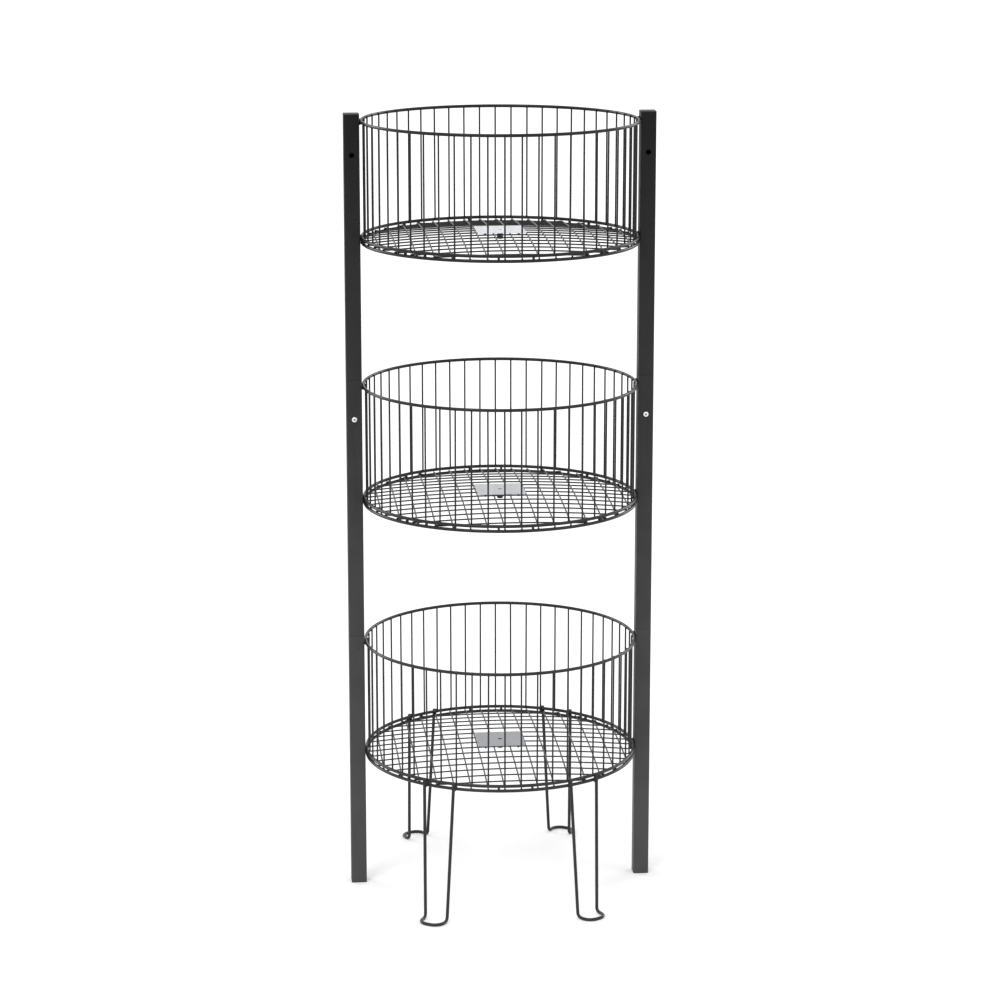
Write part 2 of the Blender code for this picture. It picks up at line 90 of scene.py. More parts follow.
socketTypes = {
    "colour": "NodeSocketColor",
    "value": "NodeSocketFloat",
    "vector": "NodeSocketVector",
}


def newGroup(name, inputs, outputs):
    # inputs and outputs: socket name to (kind, default)
    group = bpy.data.node_groups.new(name, "ShaderNodeTree")
    for direction, listed in (("INPUT", inputs), ("OUTPUT", outputs)):
        for socketName, (kind, default) in listed.items():
            socket = group.interface.new_socket(name=socketName, in_out=direction,
                                                socket_type=socketTypes[kind])
            if default is not None:
                socket.default_value = default
    start = group.nodes.new("NodeGroupInput")
    end = group.nodes.new("NodeGroupOutput")
    return group, start, end


def addNode(tree, kind, links=None, values=None, **settings):
    # links: input name or number to the socket that feeds it
    node = tree.nodes.new(kind)
    for key, value in settings.items():
        setattr(node, key, value)
    for key, value in (values or {}).items():
        node.inputs[key].default_value = value
    for key, source in (links or {}).items():
        tree.links.new(source, node.inputs[key])
    return node


def addMath(tree, operation, *terms):
    node = tree.nodes.new("ShaderNodeMath")
    node.operation = operation
    for index, term in enumerate(terms):
        if isinstance(term, (int, float)):
            node.inputs[index].default_value = term
        else:
            tree.links.new(term, node.inputs[index])
    return node.outputs[0]


def mixColours(tree, factor, first, second):
    node = tree.nodes.new("ShaderNodeMix")
    node.data_type = "RGBA"
    for key, source in ((0, factor), (6, first), (7, second)):
        tree.links.new(source, node.inputs[key])
    return node.outputs[2]


def remap(tree, value, low, high, toLow=0.0, toHigh=1.0, smooth=True):
    node = addNode(tree, "ShaderNodeMapRange", {0: value},
                   {1: low, 2: high, 3: toLow, 4: toHigh},
                   interpolation_type="SMOOTHSTEP" if smooth else "LINEAR")
    return node.outputs[0]


def darken(tree, colour, mask, share):
    # keeps the given share of the colour where the mask is 1, and all of it where it is 0
    change = addMath(tree, "SUBTRACT", share, 1.0)
    kept = addMath(tree, "ADD", addMath(tree, "MULTIPLY", mask, change), 1.0)
    return addNode(tree, "ShaderNodeVectorMath", {0: colour, 3: kept},
                   operation="SCALE").outputs[0]


def makePaintedLightGroup():
    # Painted light by height: the colour blends from Low Colour at the floor to High Colour at
    # Height. On the coats it is painted shade, deeper at the top and paler towards the floor; on
    # the zinc plates it is a painted reflection, paler higher up.
    group, start, end = newGroup(
        "paintedLightByHeight",
        {"Low Colour": ("colour", None), "High Colour": ("colour", None),
         "Height": ("value", 1.56)},
        {"Colour": ("colour", None)})
    place = addNode(group, "ShaderNodeTexCoord").outputs["Object"]
    level = addNode(group, "ShaderNodeSeparateXYZ", {0: place}).outputs["Z"]
    share = addMath(group, "DIVIDE", level, start.outputs["Height"])
    share = remap(group, share, 0.0, 1.0, smooth=False)
    colour = mixColours(group, share, start.outputs["Low Colour"], start.outputs["High Colour"])
    group.links.new(colour, end.inputs["Colour"])
    return group


powderLook = {
    "cloudSpan": (0.35, 0.65),      # the part of each noise that makes a difference
    "speckSpan": (0.25, 0.75),
    "speckScale": 2600.0,
    "speckLow": 0.7,                # how much of the cloud a speck leaves
}


def makePowderGroup():
    # Powder coat: a soft cloudiness in colour and gloss, and the orange peel of the baked film.
    group, start, end = newGroup(
        "powderCoat",
        {"Colour": ("colour", None), "Cloud": ("value", 0.85),
         "Cloud Scale": ("value", 12.0), "Peel Scale": ("value", 600.0),
         "Roughness": ("value", 0.4), "Roughness Spread": ("value", 0.1)},
        {"Colour": ("colour", None), "Roughness": ("value", None), "Height": ("value", None)})
    place = addNode(group, "ShaderNodeTexCoord").outputs["Object"]
    cloud = addNode(group, "ShaderNodeTexNoise",
                    {"Vector": place, "Scale": start.outputs["Cloud Scale"]},
                    {"Detail": 4.0, "Roughness": 0.6}).outputs["Fac"]
    peel = addNode(group, "ShaderNodeTexNoise",
                   {"Vector": place, "Scale": start.outputs["Peel Scale"]},
                   {"Detail": 1.5, "Roughness": 0.5}).outputs["Fac"]
    speck = addNode(group, "ShaderNodeTexNoise", {"Vector": place},
                    {"Scale": powderLook["speckScale"], "Detail": 1.0}).outputs["Fac"]
    factor = addMath(group, "MULTIPLY", remap(group, cloud, *powderLook["cloudSpan"]),
                     remap(group, speck, *powderLook["speckSpan"], powderLook["speckLow"]))
    colour = darken(group, start.outputs["Colour"], factor, start.outputs["Cloud"])
    spread = addMath(group, "MULTIPLY", addMath(group, "SUBTRACT", cloud, 0.5),
                     start.outputs["Roughness Spread"])
    group.links.new(colour, end.inputs["Colour"])
    group.links.new(addMath(group, "ADD", spread, start.outputs["Roughness"]),
                    end.inputs["Roughness"])
    group.links.new(peel, end.inputs["Height"])
    return group


rubLook = {"patchScale": 45.0, "patchSpan": (0.42, 0.68)}


def makeRubGroup():
    # Rubbed edges of a square tube that stands on the line abs(x) = Middle, y = 0.
    group, start, end = newGroup(
        "rubbedEdges",
        {"Colour": ("colour", None), "Rubbed Colour": ("colour", None),
         "Middle": ("value", 0.2893), "Half Width": ("value", 0.0155),
         "Reach": ("value", 0.003), "Amount": ("value", 0.5)},
        {"Colour": ("colour", None)})
    place = addNode(group, "ShaderNodeTexCoord").outputs["Object"]
    axes = addNode(group, "ShaderNodeSeparateXYZ", {0: place})
    aside = addMath(group, "ABSOLUTE", axes.outputs["X"])
    across = addMath(group, "ABSOLUTE",
                     addMath(group, "SUBTRACT", aside, start.outputs["Middle"]))
    deep = addMath(group, "ABSOLUTE", axes.outputs["Y"])
    inner = addMath(group, "MINIMUM", across, deep)
    toEdge = addMath(group, "SUBTRACT", start.outputs["Half Width"], inner)
    near = addMath(group, "SUBTRACT", 1.0,
                   addMath(group, "DIVIDE", toEdge, start.outputs["Reach"]))
    patchy = addNode(group, "ShaderNodeTexNoise", {"Vector": place},
                     {"Scale": rubLook["patchScale"], "Detail": 5.0,
                      "Roughness": 0.65}).outputs["Fac"]
    broken = remap(group, patchy, *rubLook["patchSpan"])
    mask = addMath(group, "MULTIPLY", remap(group, near, 0.0, 1.0), broken)
    mask = addMath(group, "MULTIPLY", mask, start.outputs["Amount"])
    colour = mixColours(group, mask, start.outputs["Colour"], start.outputs["Rubbed Colour"])
    group.links.new(colour, end.inputs["Colour"])
    return group


drawnLook = {"streakShare": 0.65, "stainShare": 0.35, "span": (0.38, 0.62)}


def makeDrawnGroup():
    # Rolled or drawn metal: long streaks along one axis, and faint stains.
    group, start, end = newGroup(
        "drawnMetal",
        {"Colour": ("colour", None), "Streak": ("value", 0.8),
         "Stretch": ("vector", (6.0, 420.0, 420.0)), "Stain Scale": ("value", 25.0),
         "Roughness": ("value", 0.35), "Roughness Spread": ("value", 0.2)},
        {"Colour": ("colour", None), "Roughness": ("value", None), "Height": ("value", None)})
    place = addNode(group, "ShaderNodeTexCoord").outputs["Object"]
    stretched = addNode(group, "ShaderNodeVectorMath", {0: place, 1: start.outputs["Stretch"]},
                        operation="MULTIPLY").outputs[0]
    streak = addNode(group, "ShaderNodeTexNoise", {"Vector": stretched},
                     {"Scale": 1.0, "Detail": 4.0, "Roughness": 0.6}).outputs["Fac"]
    stain = addNode(group, "ShaderNodeTexNoise",
                    {"Vector": place, "Scale": start.outputs["Stain Scale"]},
                    {"Detail": 3.0, "Roughness": 0.55}).outputs["Fac"]
    both = addMath(group, "ADD", addMath(group, "MULTIPLY", streak, drawnLook["streakShare"]),
                   addMath(group, "MULTIPLY", stain, drawnLook["stainShare"]))
    factor = remap(group, both, *drawnLook["span"])
    colour = darken(group, start.outputs["Colour"], factor, start.outputs["Streak"])
    spread = addMath(group, "MULTIPLY", addMath(group, "SUBTRACT", both, 0.5),
                     start.outputs["Roughness Spread"])
    group.links.new(colour, end.inputs["Colour"])
    group.links.new(addMath(group, "ADD", spread, start.outputs["Roughness"]),
                    end.inputs["Roughness"])
    group.links.new(streak, end.inputs["Height"])
    return group


def makeRecessShadeGroup():
    # Painted shade in a screw's recess, round the line abs(x) = Across at height Up: the colour
    # is darkened where the recess lies in shade.
    group, start, end = newGroup(
        "paintedRecessShade",
        {"Colour": ("colour", None), "Share": ("value", 0.2), "Across": ("value", 0.2893),
         "Up": ("value", 0.9623), "Inner": ("value", 0.0017), "Outer": ("value", 0.0026)},
        {"Colour": ("colour", None)})
    place = addNode(group, "ShaderNodeTexCoord").outputs["Object"]
    axes = addNode(group, "ShaderNodeSeparateXYZ", {0: place})
    across = addMath(group, "SUBTRACT", addMath(group, "ABSOLUTE", axes.outputs["X"]),
                     start.outputs["Across"])
    rise = addMath(group, "SUBTRACT", axes.outputs["Z"], start.outputs["Up"])
    squares = addMath(group, "ADD", addMath(group, "MULTIPLY", across, across),
                      addMath(group, "MULTIPLY", rise, rise))
    away = addMath(group, "SQRT", squares)
    share = addMath(group, "DIVIDE", addMath(group, "SUBTRACT", start.outputs["Outer"], away),
                    addMath(group, "SUBTRACT", start.outputs["Outer"], start.outputs["Inner"]))
    mask = remap(group, share, 0.0, 1.0)
    colour = darken(group, start.outputs["Colour"], mask, start.outputs["Share"])
    group.links.new(colour, end.inputs["Colour"])
    return group


paintedLightGroup = makePaintedLightGroup()
recessShadeGroup = makeRecessShadeGroup()
powderGroup = makePowderGroup()
rubGroup = makeRubGroup()
drawnGroup = makeDrawnGroup()
print("shader groups built")


# Finishes

coats = {
    # low and high are display greys at the floor and at the top of the bin; the change from low
    # to high is painted shade, darker at the top and paler towards the floor
    "post": {"low": 0.322, "high": 0.078, "rubbed": 0.30, "specular": 0.15, "roughness": 0.46,
             "peel": 0.30, "peelScale": 620.0},
    "wire": {"low": 0.20, "high": 0.10, "rubbed": 0.0, "specular": 0.25, "roughness": 0.30,
             "peel": 0.05, "peelScale": 260.0},
}
coatFilm = {"cloudScale": 9.0, "spread": 0.12, "bumpDepth": 0.0002}      # alike in both


def grey(level, tint=(1.0, 1.0, 1.03)):
    # linear colour of a display grey from 0 to 1, by the sRGB curve
    linear = ((level + 0.055) / 1.055) ** 2.4 if level > 0.04 else level / 12.92
    return tuple(min(1.0, linear * part) for part in tint) + (1.0,)


def newFinish(name, metallic=0.0, specular=0.5):
    material = bpy.data.materials.new(name)
    material.use_nodes = True
    tree = material.node_tree
    shader = tree.nodes["Principled BSDF"]
    shader.inputs["Metallic"].default_value = metallic
    shader.inputs["Specular IOR Level"].default_value = specular
    return material, tree, shader


def addBump(tree, shader, height, strength, distance):
    bump = addNode(tree, "ShaderNodeBump", {"Height": height},
                   {"Strength": strength, "Distance": distance})
    tree.links.new(bump.outputs["Normal"], shader.inputs["Normal"])


def placeGroup(tree, group, values, links=None):
    return addNode(tree, "ShaderNodeGroup", links, values, node_tree=group)


def makeCoat(name, settings):
    material, tree, shader = newFinish(name, specular=settings["specular"])
    # painted shade: the coat's grey blends from low at the floor to the darker high at the top
    shade = placeGroup(tree, paintedLightGroup, {"Low Colour": grey(settings["low"]),
                                           "High Colour": grey(settings["high"])})
    film = placeGroup(tree, powderGroup, {
        "Cloud Scale": coatFilm["cloudScale"], "Peel Scale": settings["peelScale"],
        "Roughness": settings["roughness"], "Roughness Spread": coatFilm["spread"]},
        {"Colour": shade.outputs["Colour"]})
    colour = film.outputs["Colour"]
    if settings["rubbed"]:
        edges = placeGroup(tree, rubGroup, {"Rubbed Colour": grey(settings["rubbed"])},
                           {"Colour": colour})
        colour = edges.outputs["Colour"]
    tree.links.new(colour, shader.inputs["Base Color"])
    tree.links.new(film.outputs["Roughness"], shader.inputs["Roughness"])
    addBump(tree, shader, film.outputs["Height"], settings["peel"], coatFilm["bumpDepth"])
    return material


metals = {
    # streak is the share of the colour that the drawn lines and stains keep
    # zinc: the change from low to the paler high is a painted reflection, the plates paler
    # higher up
    "zinc": {"low": 0.575, "high": 0.98, "streak": 0.93, "tint": (0.97, 0.99, 1.05),
             "roughness": 0.38, "spread": 0.05, "stretch": (5.0, 380.0, 380.0), "bump": 0.04},
    "sleeve": {"low": 0.62, "high": 0.62, "streak": 0.64, "tint": (1.0, 0.99, 0.97),
               "roughness": 0.36, "spread": 0.2, "stretch": (420.0, 420.0, 5.0), "bump": 0.15},
    "screw": {"low": 0.96, "high": 0.96, "streak": 0.95, "tint": (1.0, 1.0, 1.0),
              "roughness": 0.16, "spread": 0.05, "stretch": (300.0, 300.0, 300.0),
              "bump": 0.03},
    "socket": {"low": 0.18, "high": 0.18, "streak": 0.5, "tint": (1.0, 0.98, 0.95),
               "roughness": 0.5, "spread": 0.2, "stretch": (300.0, 300.0, 900.0), "bump": 0.2},
}
metalBumpDepth = 0.0001


def makeMetal(name, settings, metallic=1.0, paintRecessShade=False):
    material, tree, shader = newFinish(name, metallic=metallic)
    # where low and high differ this is painted light: on the zinc plates a painted reflection,
    # paler higher up
    shade = placeGroup(tree, paintedLightGroup, {
        "Low Colour": grey(settings["low"], settings["tint"]),
        "High Colour": grey(settings["high"], settings["tint"])})
    drawn = placeGroup(tree, drawnGroup, {
        "Streak": settings["streak"], "Stretch": settings["stretch"],
        "Roughness": settings["roughness"], "Roughness Spread": settings["spread"]},
        {"Colour": shade.outputs["Colour"]})
    colour = drawn.outputs["Colour"]
    # painted shade: the colour is darkened in the screw's recess
    if paintRecessShade:
        dark = placeGroup(tree, recessShadeGroup, {}, {"Colour": colour})
        colour = dark.outputs["Colour"]
    tree.links.new(colour, shader.inputs["Base Color"])
    tree.links.new(drawn.outputs["Roughness"], shader.inputs["Roughness"])
    addBump(tree, shader, drawn.outputs["Height"], settings["bump"], metalBumpDepth)
    return material


plastic = {"grey": 0.17, "specular": 0.4, "cloud": 0.8, "cloudScale": 30.0, "peel": 0.4,
           "peelScale": 2200.0, "roughness": 0.55, "spread": 0.1, "bumpDepth": 0.00015}


def makePlastic():
    material, tree, shader = newFinish("blackPlastic", specular=plastic["specular"])
    grain = placeGroup(tree, powderGroup, {
        "Colour": grey(plastic["grey"]), "Cloud": plastic["cloud"],
        "Cloud Scale": plastic["cloudScale"], "Peel Scale": plastic["peelScale"],
        "Roughness": plastic["roughness"], "Roughness Spread": plastic["spread"]})
    tree.links.new(grain.outputs["Colour"], shader.inputs["Base Color"])
    tree.links.new(grain.outputs["Roughness"], shader.inputs["Roughness"])
    addBump(tree, shader, grain.outputs["Height"], plastic["peel"], plastic["bumpDepth"])
    return material


postCoat = makeCoat("postCoat", coats["post"])
wireCoat = makeCoat("wireCoat", coats["wire"])
zincPlate = makeMetal("zincPlate", metals["zinc"])
sleeveSteel = makeMetal("sleeveSteel", metals["sleeve"])
screwNickel = makeMetal("screwNickel", metals["screw"], paintRecessShade=True)
socketSteel = makeMetal("socketSteel", metals["socket"], metallic=0.6)
blackPlastic = makePlastic()
print("finishes made")


# Mesh tools

tiny = 0.00001       # metres; places closer than this count as one
hardEdge = 40        # degrees; an edge that turns more than this is shown hard, or eased
easedEdge = 60       # degrees; an edge of a wire's end that turns more than this is eased
roundSides = 40      # of round holes and of the screws' heads


def vertsOf(edges):
    return list({vert for edge in edges for vert in edge.verts})


def startWire(bm, place, heading, thickness, around):
    # the round end of a wire, square to its heading
    turn = heading.to_track_quat("Z", "Y").to_matrix().to_4x4()
    made = bmesh.ops.create_circle(bm, segments=around, radius=thickness / 2,
                                   matrix=Matrix.Translation(place) @ turn)
    return list({edge for vert in made["verts"] for edge in vert.link_edges})


def runWire(bm, end, offset):
    # carries the wire on in a straight line and gives its new end
    made = bmesh.ops.extrude_edge_only(bm, edges=end)["geom"]
    fresh = {item for item in made if isinstance(item, bmesh.types.BMVert)}
    bmesh.ops.translate(bm, verts=list(fresh), vec=offset)
    return [item for item in made if isinstance(item, bmesh.types.BMEdge)
            and all(vert in fresh for vert in item.verts)]


def turnWire(bm, end, centre, axis, angle, steps):
    # bends the wire round an arc and gives its new end
    made = bmesh.ops.spin(bm, geom=vertsOf(end) + end, cent=centre, axis=axis, angle=angle,
                          steps=steps, use_merge=False)
    return [item for item in made["geom_last"] if isinstance(item, bmesh.types.BMEdge)]


def closeWire(bm, *ends):
    for end in ends:
        bmesh.ops.holes_fill(bm, edges=end, sides=0)


def bendWire(bm, corners, radii, thickness, around, steps):
    # a wire through the corners, each bent to its own radius
    heading = (corners[1] - corners[0]).normalized()
    first = end = startWire(bm, corners[0], heading, thickness, around)
    place = corners[0]
    for corner, following, radius in zip(corners[1:-1], corners[2:], radii):
        ahead = (following - corner).normalized()
        angle = heading.angle(ahead)
        trim = radius * math.tan(angle / 2)
        axis = heading.cross(ahead).normalized()
        end = runWire(bm, end, corner - heading * trim - place)
        centre = corner - heading * trim + axis.cross(heading) * radius
        end = turnWire(bm, end, centre, axis, angle, steps)
        place = corner + ahead * trim
        heading = ahead
    end = runWire(bm, end, corners[-1] - place)
    closeWire(bm, first, end)


def easeSharpEdges(bm, width, segments):
    sharp = [edge for edge in bm.edges
             if edge.is_manifold and edge.calc_face_angle() > math.radians(easedEdge)]
    bmesh.ops.bevel(bm, geom=sharp, offset=width, segments=segments, profile=0.5,
                    affect="EDGES", material=-1)


def addLump(bm, place, size, turn, luck, roughness=0.12, fineness=2):
    # one lump of weld: an uneven ball with the given half sizes
    matrix = Matrix.Translation(place) @ turn.to_4x4() @ Matrix.Diagonal((*size, 1))
    made = bmesh.ops.create_icosphere(bm, subdivisions=fineness, radius=1.0, matrix=matrix)
    for vert in made["verts"]:
        vert.co += (vert.co - place) * luck.uniform(-roughness, roughness)


bead = {"step": 0.0022, "stray": 0.12, "smallest": 0.85, "largest": 1.12}


def addBead(bm, start, end, size, luck):
    # a run of weld: lumps laid one on the next
    count = max(2, round((end - start).length / bead["step"]))
    heading = (end - start).to_track_quat("X", "Z").to_matrix()
    for index in range(count + 1):
        shift = Vector((0, luck.uniform(-bead["stray"], bead["stray"]) * size[1],
                        luck.uniform(-bead["stray"], bead["stray"]) * size[2]))
        place = start.lerp(end, index / count) + heading @ shift
        grow = luck.uniform(bead["smallest"], bead["largest"])
        addLump(bm, place, tuple(part * grow for part in size), heading, luck)


def newPiece(name, bm, material, body, nodes=(), hardAngle=hardEdge):
    bmesh.ops.recalc_face_normals(bm, faces=bm.faces[:])
    mesh = bpy.data.meshes.new(name)
    bm.to_mesh(mesh)
    bm.free()
    dressPiece(name, mesh, material, body, nodes, hardAngle)


def dressPiece(name, mesh, material, body, nodes, hardAngle=hardEdge):
    mesh.materials.clear()
    mesh.materials.append(material)
    mesh.shade_smooth()
    mesh.set_sharp_from_angle(angle=math.radians(hardAngle))
    piece = bpy.data.objects.new(name, mesh)
    bpy.context.scene.collection.objects.link(piece)
    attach(piece, body)
    if nodes:
        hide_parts(*nodes)


def holder(name, bm):
    # an object that lends its modifiers and is thrown away
    mesh = bpy.data.meshes.new(name)
    bmesh.ops.recalc_face_normals(bm, faces=bm.faces[:])
    bm.to_mesh(mesh)
    bm.free()
    item = bpy.data.objects.new(name, mesh)
    bpy.context.scene.collection.objects.link(item)
    return item


def cutAndEase(name, bm, cutters=(), wall=None, easeWidth=None):
    # gives a skin its wall, cuts the holes, eases the edges and returns the finished mesh
    body = holder(name, bm)
    if wall:
        shell = body.modifiers.new("wall", "SOLIDIFY")
        shell.thickness = wall
        shell.offset = -1.0
        shell.use_even_offset = True
    tools = [holder(f"{name}_cutter", cutter) for cutter in cutters]
    for tool in tools:
        cut = body.modifiers.new("cut", "BOOLEAN")
        cut.operation = "DIFFERENCE"
        cut.solver = "EXACT"
        cut.object = tool
    if easeWidth:
        ease = body.modifiers.new("ease", "BEVEL")
        ease.width = easeWidth
        ease.segments = 2
        ease.limit_method = "ANGLE"
        ease.angle_limit = math.radians(hardEdge)
    bpy.context.view_layer.update()
    mesh = bpy.data.meshes.new_from_object(
        body.evaluated_get(bpy.context.evaluated_depsgraph_get()))
    for item in [body] + tools:
        bpy.data.objects.remove(item, do_unlink=True)
    return mesh


def roundedBlock(low, high, corner, segments):
    # a box with its upright edges rounded
    bm = bmesh.new()
    size = high - low
    bmesh.ops.create_cube(bm, size=1.0)
    bmesh.ops.scale(bm, verts=bm.verts[:], vec=size)
    bmesh.ops.translate(bm, verts=bm.verts[:], vec=(low + high) / 2)
    upright = [edge for edge in bm.edges
               if abs(edge.verts[0].co.z - edge.verts[1].co.z) > size.z / 2]
    bmesh.ops.bevel(bm, geom=upright, offset=corner, segments=segments, profile=0.5,
                    affect="EDGES", material=-1)
    return bm


def openEnds(bm, low, high):
    # takes the end faces off a block, which leaves a tube's skin
    ends = [face for face in bm.faces
            if abs(face.calc_center_median().z - low) < tiny
            or abs(face.calc_center_median().z - high) < tiny]
    bmesh.ops.delete(bm, geom=ends, context="FACES_ONLY")


def bar(place, axis, diameter, length, around=roundSides, farDiameter=None):
    # a cutter: round or with fewer sides, and tapered where the far end has its own size
    bm = bmesh.new()
    turn = axis.to_track_quat("Z", "Y").to_matrix().to_4x4()
    bmesh.ops.create_cone(bm, cap_ends=True, segments=around, radius1=diameter / 2,
                          radius2=(farDiameter or diameter) / 2, depth=length,
                          matrix=Matrix.Translation(place) @ turn)
    return bm


# Basket: rings, uprights and floor wires

basket = {
    "ring": 0.0064,            # wire of the hoops
    "upright": 0.0034,
    "floorWire": 0.0030,
    "uprights": 52,
    "pitch": 0.0325,           # between floor wires
    "rows": 7,                 # floor wires each side of the middle one, side to side
    "columns": 8,              # floor wires each side of the middle, front to back
    "frameFlat": 0.00305,      # the frame's six-sided ring, from its middle to a flat
    "frameCorner": 0.00352,    # and to a corner
    "sink": 0.0003,            # how far welded wires sink into each other
    "stick": 0.0019,           # an upright's ends pass the middle of the hoops by this much
    "crown": 0.0137,           # rise of the floor in its middle
    "step": 0.012,             # the floor wires come down to their hoop over this width
    "overhang": 0.0012,        # their ends pass the middle of the hoop by this much
    "cutBack": 0.008,          # the middle wire stops this far from the socket's middle
    "lean": 0.0007,            # most that an upright's top strays sideways
    "footLean": 0.4,           # its foot strays by this share of that
    "endEase": 0.0003,         # on the uprights' ends
    "ringSides": 16,
    "ringSteps": 208,
    "uprightSides": 12,
    "floorSides": 10,
    "edgeStops": 6,            # points close together at each end of a floor wire
    "middleStop": 0.03,        # between the other points
}


def basketPlaces(tier):
    # where this tier's hoops are, read from the frame
    rimLow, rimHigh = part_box(f"{tier}_rim")
    wallLow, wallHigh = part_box(f"{tier}_basket_wall")
    floorLow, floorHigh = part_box(f"{tier}_basket_floor")
    return {
        "rimZ": (rimLow.z + rimHigh.z) / 2,
        "rimRadius": rimHigh.x - basket["frameFlat"],
        "baseZ": wallLow.z + basket["frameCorner"],
        "baseRadius": wallHigh.x - basket["frameFlat"],
        "floorZ": floorLow.z + basket["frameFlat"],
        "floorRadius": floorHigh.x - basket["frameCorner"],
        "floorTop": floorHigh.z,
    }


def addHoop(bm, radius, height):
    # a closed ring of round wire
    profile = startWire(bm, Vector((radius, 0, height)), Vector((0, 1, 0)), basket["ring"],
                        basket["ringSides"])
    bmesh.ops.spin(bm, geom=vertsOf(profile) + profile, cent=(0, 0, 0), axis=(0, 0, 1),
                   angle=2 * math.pi, steps=basket["ringSteps"], use_merge=True)


def makeRim(tier, places):
    bm = bmesh.new()
    addHoop(bm, places["rimRadius"], places["rimZ"])
    newPiece(f"{tier}_rim_wire", bm, wireCoat, f"{tier}_tier", [f"{tier}_rim"])


def uprightPlaces(places, luck):
    # foot and top of each upright, just inside the two hoops
    reach = basket["ring"] / 2 + basket["upright"] / 2 - basket["sink"]
    for index in range(basket["uprights"]):
        angle = 2 * math.pi * (index + 0.5) / basket["uprights"]
        outward = Vector((math.cos(angle), math.sin(angle), 0))
        along = Vector((-outward.y, outward.x, 0))
        foot = outward * (places["baseRadius"] - reach) + up * places["baseZ"]
        top = outward * (places["rimRadius"] - reach) + up * places["rimZ"]
        foot += along * luck.uniform(-basket["footLean"], basket["footLean"]) * basket["lean"]
        top += along * luck.uniform(-1, 1) * basket["lean"]
        yield foot, top, outward


def makeWall(tier, places, uprights):
    bm = bmesh.new()
    for foot, top, outward in uprights:
        heading = (top - foot).normalized()
        low = foot - heading * basket["stick"]
        high = top + heading * basket["stick"]
        turn = heading.to_track_quat("Z", "Y").to_matrix().to_4x4()
        bmesh.ops.create_cone(bm, cap_ends=True, segments=basket["uprightSides"],
                              radius1=basket["upright"] / 2, radius2=basket["upright"] / 2,
                              depth=(high - low).length,
                              matrix=Matrix.Translation((low + high) / 2) @ turn)
    easeSharpEdges(bm, basket["endEase"], 1)
    addHoop(bm, places["baseRadius"], places["baseZ"])
    newPiece(f"{tier}_wall_wires", bm, wireCoat, f"{tier}_tier",
             [f"{tier}_basket_wall"])


def settle(x, y, places, layerDrop):
    # height of a floor wire's middle: a shallow dome that comes down to its hoop at the edge
    radius = places["floorRadius"]
    away = min(math.hypot(x, y), radius)
    dome = places["floorTop"] - basket["floorWire"] / 2 - layerDrop
    dome -= basket["crown"] * (away / radius) ** 2
    ring = places["floorZ"] + (basket["ring"] + basket["floorWire"]) / 2 - basket["sink"]
    share = min(1.0, (radius - away) / basket["step"])
    ease = share * share * (3 - 2 * share)
    return ring + (dome - ring) * ease


def floorLines(places):
    # runs of the floor wires: (fixed coordinate, start, end, is it a row)
    reach = places["floorRadius"] + basket["overhang"]
    for index in range(-basket["rows"], basket["rows"] + 1):
        y = index * basket["pitch"]
        half = math.sqrt(reach ** 2 - y ** 2)
        if index:
            yield y, -half, half, True
        else:
            yield y, -half, -basket["cutBack"], True
            yield y, basket["cutBack"], half, True
    for index in range(-basket["columns"], basket["columns"]):
        x = (index + 0.5) * basket["pitch"]
        half = math.sqrt(reach ** 2 - x ** 2)
        yield x, -half, half, False


def floorStops(start, end):
    # close together near the hoop, where the wire steps down, and wide apart between
    fine = basket["step"] / 4
    near = [start + fine * index for index in range(basket["edgeStops"])]
    far = [end - fine * index for index in reversed(range(basket["edgeStops"]))]
    inner = max(2, round((far[0] - near[-1]) / basket["middleStop"]))
    middle = [near[-1] + (far[0] - near[-1]) * index / inner for index in range(1, inner)]
    return sorted(near + middle + far) if far[0] > near[-1] else [start, end]


def makeFloor(tier, places):
    bm = bmesh.new()
    addHoop(bm, places["floorRadius"], places["floorZ"])
    drop = basket["floorWire"] - basket["sink"] / 2
    for fixed, start, end, isRow in floorLines(places):
        path = []
        for along in floorStops(start, end):
            x, y = (along, fixed) if isRow else (fixed, along)
            path.append(Vector((x, y, settle(x, y, places, drop if isRow else 0.0))))
        heading = Vector((1, 0, 0)) if isRow else Vector((0, 1, 0))
        first = tip = startWire(bm, path[0], heading, basket["floorWire"], basket["floorSides"])
        for before, after in zip(path, path[1:]):
            tip = runWire(bm, tip, after - before)
        closeWire(bm, first, tip)
    newPiece(f"{tier}_floor_wires", bm, wireCoat, f"{tier}_tier",
             [f"{tier}_basket_floor"])


# Centre plate and its socket

plate = {"corner": 0.003, "cornerSegments": 6, "hole": 0.0088, "cut": 0.02, "ease": 0.0004,
         "hardEdge": 20, "tackX": 0.033, "tackY": 0.040, "tackDrop": 0.0024}
socket = {"bore": 0.0066, "threadDepth": 0.0004, "pitch": 0.00125, "chamfer": 0.0006,
          "collar": 0.0083, "sides": 32}


def makePlate(tier):
    low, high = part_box(f"{tier}_centre_plate")
    bm = roundedBlock(low, high, plate["corner"], plate["cornerSegments"])
    cutter = bar((low + high) / 2, up, plate["hole"], plate["cut"])
    name = f"{tier}_zinc_plate"
    mesh = cutAndEase(name, bm, [cutter], easeWidth=plate["ease"])
    dressPiece(name, mesh, zincPlate, f"{tier}_tier", [f"{tier}_centre_plate"],
               plate["hardEdge"])


